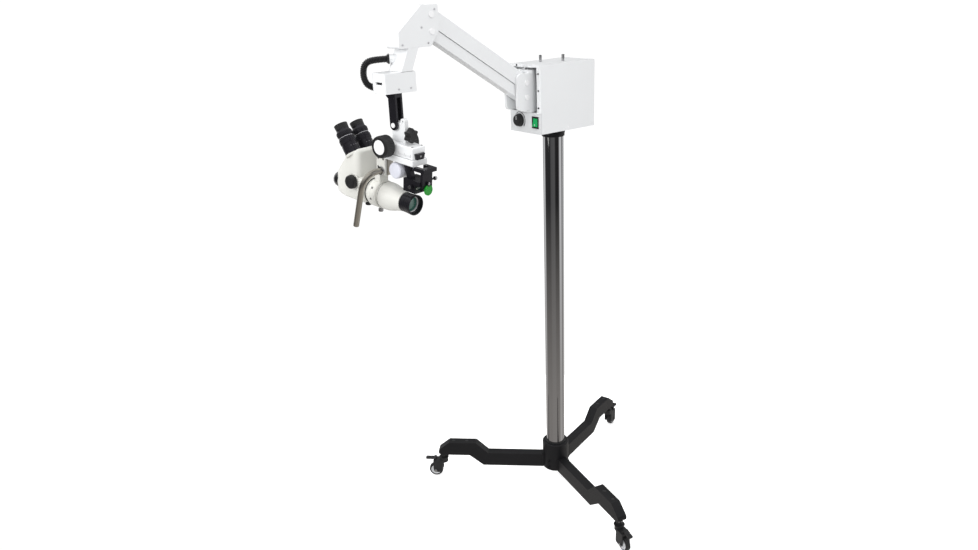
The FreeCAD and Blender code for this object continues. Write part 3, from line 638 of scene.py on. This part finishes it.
def make_carriage():
    """The white slide plate, the cream hanger below it and the round cap on its side."""
    plate = block("carriage_plate", (-28, -43, -96), (28, 86, -79.6), WHITE, "carriage", HEAD, 2.2, 4)
    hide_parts("focus_carriage")
    block("carriage_hanger", (-16, -62, -150), (16, -28, -95.6), CREAM, "carriage", HEAD, 3, 4)
    block("cap_neck", (-14, 6, -112), (14, 36, -95.6), WHITE, "carriage", HEAD, 1.5)
    block("hanger_post", (-9, -29, -148), (9, -24, -95.6), SATIN, "carriage", HEAD, 1.5)
    cap = [(-36, 0), (-36, 20.6), (-34.5, 22), (8, 22), (8.6, 21.4), (9.4, 21.4), (10, 22), (13, 21.6),
           (15.4, 19.4), (16.4, 15), (16.6, 0)]
    # The round cap is white plastic drawn darker and bluish: painted shade.
    lathe("bracket_cap", cap, (14, 22, -120), (1, 0, 0), SHADED_WHITE_CAP, "carriage", HEAD, steps=96, bevel=0.4)
    for i, (y, z) in enumerate(((-54, -104), (-54, -128), (-35, -104))):
        screw("hanger_screw_%d" % i, (16, y, z), (1, 0, 0), 3.4, STEEL, "carriage", HEAD)


def make_lobed_knob():
    pivot = head_point("tilt_lock")
    count = 144
    bm = bmesh.new()
    rows = []
    for y, grow in ((42.4, -3.5), (43.4, -1.2), (45.4, 0), (58, 0), (60.6, -1.5), (61.8, -4)):
        row = []
        for i in range(count):
            a = 2 * math.pi * i / count
            r = 16.9 - 2.7 * math.cos(6 * a) + 0.4 * math.cos(12 * a) + grow
            row.append(bm.verts.new((r * math.cos(a), y, pivot.z + r * math.sin(a))))
        rows.append(row)
    ring_rows(bm, rows, False)
    bm.faces.new(rows[0])
    centre = []
    for i in range(count):
        a = 2 * math.pi * i / count
        centre.append(bm.verts.new((7 * math.cos(a), 60.8, pivot.z + 7 * math.sin(a))))
    ring_rows(bm, [rows[-1], centre], False)
    bm.faces.new(centre)
    build("lobed_knob", bm, MATT_BLACK, "tilt_lock_knob", HEAD, 0.5, 2, ["tilt_lock_knob"])
    lathe("lock_stud", [(26, 0), (26, 3.9), (38.5, 3.9), (38.5, 6.6), (39, 7), (42.8, 7), (42.8, 0)],
          (0, 0, pivot.z), (0, 1, 0), STEEL, "tilt_lock_knob", HEAD, steps=64)


def make_ring_clamp():
    profile = [(-76, 34.15), (-76, 38.2), (-74.8, 39.4), (-66, 39.4), (-65.2, 38.7), (-57, 38.7),
               (-56.2, 39.4), (-47.2, 39.4), (-46, 38.2), (-46, 34.15)]
    lathe("clamp_ring", profile, (0, 0, AXIS_Z), (0, 1, 0), CREAM, "carriage", HEAD, steps=144, closed=True,
          replaces=["ring_clamp"])
    block("clamp_boss", (-16, -68, AXIS_Z + 35.6), (16, -48, -149.5), CREAM, "carriage", HEAD, 2.0, 4)
    for i, turn in enumerate((34, -12)):
        a = math.radians(turn)
        way = (math.cos(a), 0, math.sin(a))
        screw("clamp_side_screw_%d" % i, (39.0 * way[0], -61, AXIS_Z + 39.0 * way[2]), way, 3.2, STEEL,
              "carriage", HEAD)
    lathe("clamp_screw", [(37, 0), (37, 4), (45, 4), (45, 6), (46, 6.6, 1), (53, 6.6, 1), (54, 5.8),
                          (54, 0)],
          (0, -61, AXIS_Z), (0, 0, -1), STEEL, "carriage", HEAD, ribs=28, rib_depth=0.35)


def make_handle():
    """The bent grip tube, from the hanger outward and then down."""
    lean = Matrix.Rotation(math.radians(-12), 3, "X")
    reach = 80
    bend = 45
    grip = 111
    flat = [Vector((16 + 3.8 * i, 0, 0)) for i in range(5)]
    for i in range(21):
        a = math.radians(90 * i / 20)
        flat.append(Vector((reach - bend + bend * math.sin(a), 0, -bend + bend * math.cos(a))))
    for i in range(1, 25):
        flat.append(Vector((reach, 0, -bend - grip * i / 24)))
    path = [HANDLE_FOOT + lean @ p for p in flat]
    sweep("grip_tube", path, [8.15] * len(path), SATIN, "carriage", ["handle"], 56, HEAD, 0.8)
    end = path[-1]
    way = (path[-1] - path[-2]).normalized()
    lathe("grip_plug", [(-1, 0), (-1, 7.7), (0.2, 7.4), (0.8, 6), (1.0, 0)], end, way, MATT_BLACK,
          "carriage", HEAD, steps=56, bevel=0.3)
    lathe("grip_flange", [(16, 8.3), (16, 12.2), (19, 12.6), (21, 11.4), (21, 8.3)], HANDLE_FOOT, (1, 0, 0),
          STEEL, "carriage", HEAD, steps=64, closed=True)


# ---------------------------------------------------------------- microscope

def make_scope():
    make_scope_housing()
    nose = [(-90, 30), (-90, 36), (-87.6, 36), (-87.6, 33.9), (-41, 33.9), (-39, 36), (-37.6, 37.4),
            (-30, 38.5),
            (-22, 38.4), (-12, 37.3), (-2, 35.1), (8, 32.2), (16, 30), (24, 28.2), (31, 27.2), (34, 26.9),
            (34, 24.2), (26, 24.2), (-30, 30)]
    lathe("scope_nose", nose, (0, 0, AXIS_Z), (0, 1, 0), CREAM, "scope", HEAD, steps=160, closed=True,
          bevel=0.5)
    # Two near-black rings set in the nose: painted shade in its grooves.
    for i, (y, r) in enumerate(((-37.2, 37.8), (-87.7, 36.2))):
        lathe("nose_groove_%d" % i, [(y, r - 3), (y, r), (y + 0.9, r), (y + 0.9, r - 3)], (0, 0, AXIS_Z),
              (0, 1, 0), PAINTED_GAP_SHADE, "scope", HEAD, steps=144, closed=True, bevel=0.1)
    barrel = [(34.1, 21), (34.1, 24), (35.5, 24), (35.5, 26.1), (39.6, 26.2), (42, 25.8), (43, 25.8),
              (43.4, 26.4),
              (52, 26.6), (52.4, 26), (53.4, 26), (53.8, 26.7), (64, 27.6), (70, 28.1), (73.6, 28),
              (74.4, 27.5), (74.5, 25.6), (73.9, 25.1), (64.5, 25.1), (63.5, 23.6), (60, 21.4)]
    lathe("objective_tube", barrel, (0, 0, AXIS_Z), (0, 1, 0), ANODISED, "scope", HEAD, steps=144,
          closed=True, replaces=["objective_barrel"], bevel=0.25)
    dome = [(50, 0), (50, 21), (57.6, 21), (59.6, 17), (60.8, 11.6), (61.3, 6), (61.5, 0)]
    lathe("objective_glass", dome, (0, 0, AXIS_Z), (0, 1, 0), LENS, "scope", HEAD, steps=96,
          replaces=["objective_lens"], bevel=0.0)
    lathe("lens_retainer", [(57.5, 19.6), (57.5, 21.3), (60.4, 23.2), (61.6, 23.2), (60, 20.2)],
          (0, 0, AXIS_Z), (0, 1, 0), SILVER_MARK, "scope", HEAD, steps=96, closed=True, bevel=0.15)
    cap = [(0.2, 0), (0.2, 22.8), (14, 22.8), (20, 21.8), (25, 19.4), (29, 15.4), (31.8, 10.4), (33.4, 5),
           (33.9, 0)]
    lathe("rear_port_cap", cap, REAR_PORT, (0, -1, 0), GLOSS_BLACK, "scope", HEAD, steps=96,
          replaces=["rear_cap"], bevel=0.0)
    lathe("rear_port_ring", [(-1, 20), (-1, 24.4), (1.4, 24.4), (1.4, 23)], REAR_PORT, (0, -1, 0), CREAM,
          "scope", HEAD, steps=96, closed=True)
    lathe("under_screw", [(-2, 0), (-2, 4.6), (8, 4.6), (8, 7.4), (9, 8.2, 1), (19, 8.2, 1), (20, 7.4),
                          (20, 0)],
          (0, -112, -237), (0, 0, -1), MATT_BLACK, "scope", HEAD, ribs=24, rib_depth=0.5)
    make_zoom_knobs()
    for name, side in (("eyepiece_right", 1), ("eyepiece_left", -1)):
        make_eyepiece(name, side)


def make_scope_housing():
    """The cast housing, lofted from rounded sections that narrow towards the rear port."""
    upper = ((-104.5, -101, -200, 27), (-105.4, -98.5, -201, 31), (-107, -96.6, -202, 34.4),
             (-110, -94.4, -203, 38),
             (-116.4, -91.3, -205, 41.2), (-124, -96.9, -210, 42.6), (-133, -103.6, -220, 43),
             (-150, -116.2, -237, 42.6), (-158, -122.1, -237, 41.8), (-166, -128, -237, 40.6),
             (-180, -142.9, -237, 37.6), (-190, -153.5, -237, 34.8), (-200, -164.2, -236.5, 31),
             (-207, -171.8, -235, 28), (-211, -177.5, -233.4, 25.4), (-213, -181, -232, 23.4))
    lower = ((-88, -172, -236, 40.4), (-88.6, -171, -236.8, 41.4), (-91, -169, -237, 42.2),
             (-120, -168, -237, 42.6), (-152, -168, -236.9, 42.4))
    for name, sections, replaced in (("scope_casting", upper, ["scope_body"]), ("scope_foot", lower, ())):
        bm = bmesh.new()
        rows = []
        for y, top, bottom, reach in sections:
            outline = rounded([(-reach, bottom), (reach, bottom), (reach, top), (-reach, top)], 8, 8)
            rows.append([bm.verts.new((x, y, z)) for x, z in outline])
        ring_rows(bm, rows, False)
        bm.faces.new(rows[0])
        bm.faces.new(rows[-1])
        build(name, bm, CREAM, "scope", HEAD, 1.2, 3, replaced, sharp=46, degrees=40)
    across = Vector((0, math.sin(EYE_ANGLE), math.cos(EYE_ANGLE)))
    at = HEAD @ Matrix.Translation(EYE_SEAT) @ axes_at((0, 0, 0), (1, 0, 0), across) @ Matrix.Scale(1 / MM,
                                                                                                    4)
    for side in (-1, 1):
        lathe("eye_seat_%d" % (side > 0), [(-6, 0), (-6, 22), (-1.4, 23.6), (-0.4, 23.6), (0.05, 23),
                                           (0.05, 0)],
              (side * EYE_HALF, 0, 0), (0, 0, 1), CREAM, "scope", at, steps=96)


def make_zoom_knobs():
    pivot = head_point("zoom_turn")
    for side in (-1, 1):
        tag = "right" if side > 0 else "left"
        profile = [(42.8, 0), (42.8, 13), (44.2, 17.6), (45.2, 18.4, 1), (55.6, 18, 1), (57.2, 17.4),
                   (58.8, 15.6), (58.8, 7), (58.2, 6.4), (58.2, 0)]
        piece = lathe("zoom_grip_" + tag, profile, (0, pivot.y, pivot.z), (side, 0, 0), MATT_BLACK,
                      "zoom_knobs", HEAD, ribs=36, rib_depth=0.7)
        if side > 0:
            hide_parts("zoom_knobs")
        lathe("zoom_scale_" + tag, [(41.4, 18.8), (41.4, 23.6), (43.4, 23), (43.4, 18.8)],
              (0, pivot.y, pivot.z), (side, 0, 0), CREAM, "scope", HEAD, closed=True)
        for i in range(7):
            a = math.radians(-60 + 20 * i)
            x = side * 43.3
            y = pivot.y + 21 * math.sin(a)
            z = pivot.z + 21 * math.cos(a)
            block("zoom_mark_%s_%d" % (tag, i), (min(x, x + side * 0.3), y - 0.4, z - 1.2),
                  (max(x, x + side * 0.3), y + 0.4, z + 1.2), PRINT, "scope", HEAD, 0.0)


def make_eyepiece(name, side):
    e = EYE_WAY
    start = Vector((side * EYE_HALF, 0, 0)) + EYE_SEAT + e * 0.2
    tube = [(0, 0), (0, 22.4), (2, 22.4), (2.6, 21.6), (11, 21.6), (11.6, 22), (25, 22), (26, 21.2),
            (29, 21.2),
            (30, 22.3, 1), (43, 22.3, 1), (44, 21.4), (45, 20.8), (51, 20.8), (52, 21.6), (53, 21.9, 1),
            (62, 21.9, 1), (64, 21.2), (66.4, 19.4), (68, 18.5), (73, 18.4), (73, 0)]
    lathe(name + "_tube", tube, start, e, ANODISED, name, HEAD, ribs=48, rib_depth=0.5, replaces=[name],
          bevel=0.2)
    cup = [(72, 12.4), (72, 18.4), (74, 18.5), (78, 18.7), (82, 19), (85, 19.3), (86, 18.8), (86, 17.2),
           (82, 15.4), (77, 13.6)]
    lathe(name + "_cup", cup, start, e, RUBBER, name, HEAD, steps=96, closed=True, bevel=0.2)
    lathe(name + "_lens", [(72.2, 0), (72.2, 12.5), (73.6, 11.4), (75, 7), (75.5, 0)], start, e, LENS, name,
          HEAD, steps=64, bevel=0.0)
    lathe(name + "_ring", [(47, 20.4), (47, 21.3), (48.1, 21.3), (48.1, 20.4)], start, e, SILVER_MARK, name,
          HEAD, steps=96, closed=True, bevel=0.1)
    mark = start + e * 18
    for i, turn in enumerate((-30, -10, 10, 30)):
        a = math.radians(turn)
        across = Vector((1, 0, 0)) * math.sin(a) * side + e.cross(Vector((1, 0, 0))) * math.cos(a)
        p = mark + across * 21.9
        lathe("%s_dot_%d" % (name, i), [(0, 0), (0, 0.7), (0.35, 0.6), (0.35, 0)], p, across, SILVER_MARK,
              name, HEAD, steps=16, bevel=0.0)


# ---------------------------------------------------------------- lamp

def make_lamp():
    refine("lamp_block", ANODISED, 0.9, 3)
    pivot = head_point("filter_flip")
    glass = [(118.4, 0), (118.4, 12.6), (119, 13.2), (121, 13.2), (121.6, 12.6), (121.6, 0)]
    # The filter glass and its rim carry the painted green glow of the glass material.
    centre = (pivot.x, 0, pivot.z - 18)
    lathe("filter_glass", glass, centre, (0, 1, 0), GREEN_GLASS_PAINTED_GLOW, "green_filter", HEAD,
          replaces=["green_filter"], bevel=0.2)
    rim = [(118, 13), (118, 14), (122, 14), (122, 13)]
    lathe("filter_rim", rim, centre, (0, 1, 0), GREEN_GLASS_PAINTED_GLOW, "green_filter", HEAD, closed=True, bevel=0.2)
    block("filter_arm", (pivot.x - 4, 118, pivot.z - 8), (pivot.x + 4, 122, pivot.z + 3), ANODISED,
          "green_filter", HEAD, 0.8)
    screw("filter_pivot", (pivot.x, 122, pivot.z), (0, 1, 0), 4, STEEL, "green_filter", HEAD)
    lathe("lamp_window", [(87, 0), (87, 12.9), (89, 12.9), (90, 9), (90.6, 0)], (2, 0, -149), (0, 1, 0),
          LENS, "carriage", HEAD, bevel=0.0)
    screw("lamp_screw", (20, 96, -151), (0, 1, 0), 3.4, STEEL, "carriage", HEAD)
    grip = [(0, 0), (0, 4.5), (0.8, 5.1, 1), (6, 5.1, 1), (6.8, 4.4), (6.8, 0)]
    for i, (origin, axis) in enumerate((((-28, 112, -130), (-1, 0, 0)), ((29.4, 84, -148), (1, 0, 0)))):
        lathe("lamp_thumbscrew_%d" % i, grip, origin, axis, STEEL, "carriage", HEAD, ribs=24,
              rib_depth=0.35)


# ---------------------------------------------------------------- studio

def make_studio():
    bm = bmesh.new()
    bmesh.ops.create_circle(bm, cap_ends=True, segments=96, radius=0.78)
    floor_paper = finish_of("floor_paper", (0.92, 0.92, 0.92), 0.8, grain=200, bump=0.0, vary=0.0,
                            Emission_Color=(1, 1, 1, 1), Emission_Strength=0.45)
    floor = build("floor", bm, floor_paper, None, Matrix.Identity(4))
    floor.visible_glossy = False
    lights = (("key", (1.2, 3.6, 2.7), 2.6, 58), ("fill", (3.6, -0.4, 2.3), 2.4, 82),
              ("back", (-3.0, -2.0, 2.6), 2.4, 42), ("top", (0.3, 0.0, 3.6), 2.6, 46))
    for name, place, size, power in lights:
        data = bpy.data.lights.new(name, "AREA")
        data.energy = power
        data.size = size
        lamp = bpy.data.objects.new(name, data)
        lamp.location = place
        lamp.rotation_euler = (Vector((0.3, 0, 1.0)) - Vector(place)).to_track_quat("-Z", "Y").to_euler()
        lamp.visible_glossy = False
        bpy.context.scene.collection.objects.link(lamp)
    make_world()


def backdrop(node, strength):
    node.inputs["Color"].default_value = (1, 1, 1, 1)
    node.inputs["Strength"].default_value = strength
    return node.outputs["Background"]


def mapped(tree, value, low, high, top=1.0):
    """A value from low to high, carried to 0 to top."""
    node = tree.nodes.new("ShaderNodeMapRange")
    node.inputs["From Min"].default_value = low
    node.inputs["From Max"].default_value = high
    node.inputs["To Max"].default_value = top
    tree.links.new(value, node.inputs["Value"])
    return node.outputs["Result"]


def blended(tree, share, colour, towards):
    """A colour socket that turns to a fixed colour as the share rises."""
    node = tree.nodes.new("ShaderNodeMix")
    node.data_type = "RGBA"
    node.inputs[MIX_B].default_value = (*towards, 1)
    tree.links.new(share, node.inputs[MIX_FACTOR])
    tree.links.new(colour, node.inputs[MIX_A])
    return node.outputs[MIX_RESULT]


def chosen(tree, test, otherwise, when):
    """One shader where a ray test holds, and another elsewhere."""
    node = tree.nodes.new("ShaderNodeMixShader")
    tree.links.new(test, node.inputs["Fac"])
    tree.links.new(otherwise, node.inputs[1])
    tree.links.new(when, node.inputs[2])
    return node.outputs["Shader"]


def room_strips(tree, position):
    """Dark and pale upright strips around the room, as a colour."""
    angle = tree.nodes.new("ShaderNodeMath")
    angle.operation = "ARCTAN2"
    tree.links.new(position.outputs["Y"], angle.inputs[0])
    tree.links.new(position.outputs["X"], angle.inputs[1])
    strips = tree.nodes.new("ShaderNodeValToRGB")
    tree.links.new(mapped(tree, angle.outputs["Value"], -math.pi, math.pi), strips.inputs["Fac"])
    stops = ((0.0, 0.9), (0.03, 0.9), (0.07, 0.05), (0.21, 0.05), (0.25, 1.0), (0.31, 1.0),
             (0.35, 0.05), (0.52, 0.04), (0.56, 0.14), (0.66, 0.16), (0.70, 0.03), (0.80, 0.03),
             (0.84, 1.0), (0.90, 1.0), (0.94, 0.06), (1.0, 0.9))
    ramp = strips.color_ramp
    for i, (where, value) in enumerate(stops):
        element = ramp.elements[i] if i < 2 else ramp.elements.new(where)
        element.position = where
        element.color = (value, value, value, 1)
    return strips.outputs["Color"]


def make_world():
    """White behind the object, an even sky for matt surfaces, and a striped dark room for mirrors."""
    world = bpy.data.worlds.new("studio")
    bpy.context.scene.world = world
    world.use_nodes = True
    tree = world.node_tree
    sky = backdrop(tree.nodes["Background"], 0.62)
    white = backdrop(tree.nodes.new("ShaderNodeBackground"), 1.05)
    room = tree.nodes.new("ShaderNodeBackground")
    coord = tree.nodes.new("ShaderNodeTexCoord")
    position = tree.nodes.new("ShaderNodeSeparateXYZ")
    tree.links.new(coord.outputs["Generated"], position.inputs["Vector"])
    height = position.outputs["Z"]
    strips = room_strips(tree, position)
    upper = blended(tree, mapped(tree, height, 0.3, 0.8), strips, (0.8, 0.8, 0.8))
    colour = blended(tree, mapped(tree, height, -0.26, -0.5, 0.72), upper, (0.50, 0.47, 0.44))
    tree.links.new(colour, room.inputs["Color"])
    rays = tree.nodes.new("ShaderNodeLightPath")
    seen = chosen(tree, rays.outputs["Is Camera Ray"], sky, white)
    mirrored = chosen(tree, rays.outputs["Is Glossy Ray"], seen, room.outputs["Background"])
    tree.links.new(mirrored, tree.nodes["World Output"].inputs["Surface"])


def make_camera():
    data = bpy.data.cameras.new("camera")
    data.lens = 28.39
    data.sensor_width = 36
    data.clip_end = 100
    camera = bpy.data.objects.new("camera", data)
    right = Vector((-0.78386, 0.61988, -0.03695))
    up = Vector((-0.24383, -0.25251, 0.93638))
    forward = Vector((-0.57112, -0.74300, -0.34906))
    turn = Matrix((right, up, -forward)).transposed().to_4x4()
    camera.matrix_world = Matrix.Translation(Vector((1.607, 1.741, 1.667))) @ turn
    bpy.context.scene.collection.objects.link(camera)
    bpy.context.scene.camera = camera
    bpy.context.scene.view_settings.view_transform = "Standard"


make_camera()
make_base()
make_column()
make_housing()
make_controls()
make_boom()
make_fork()
make_focus()
make_scope()
make_lamp()
make_studio()
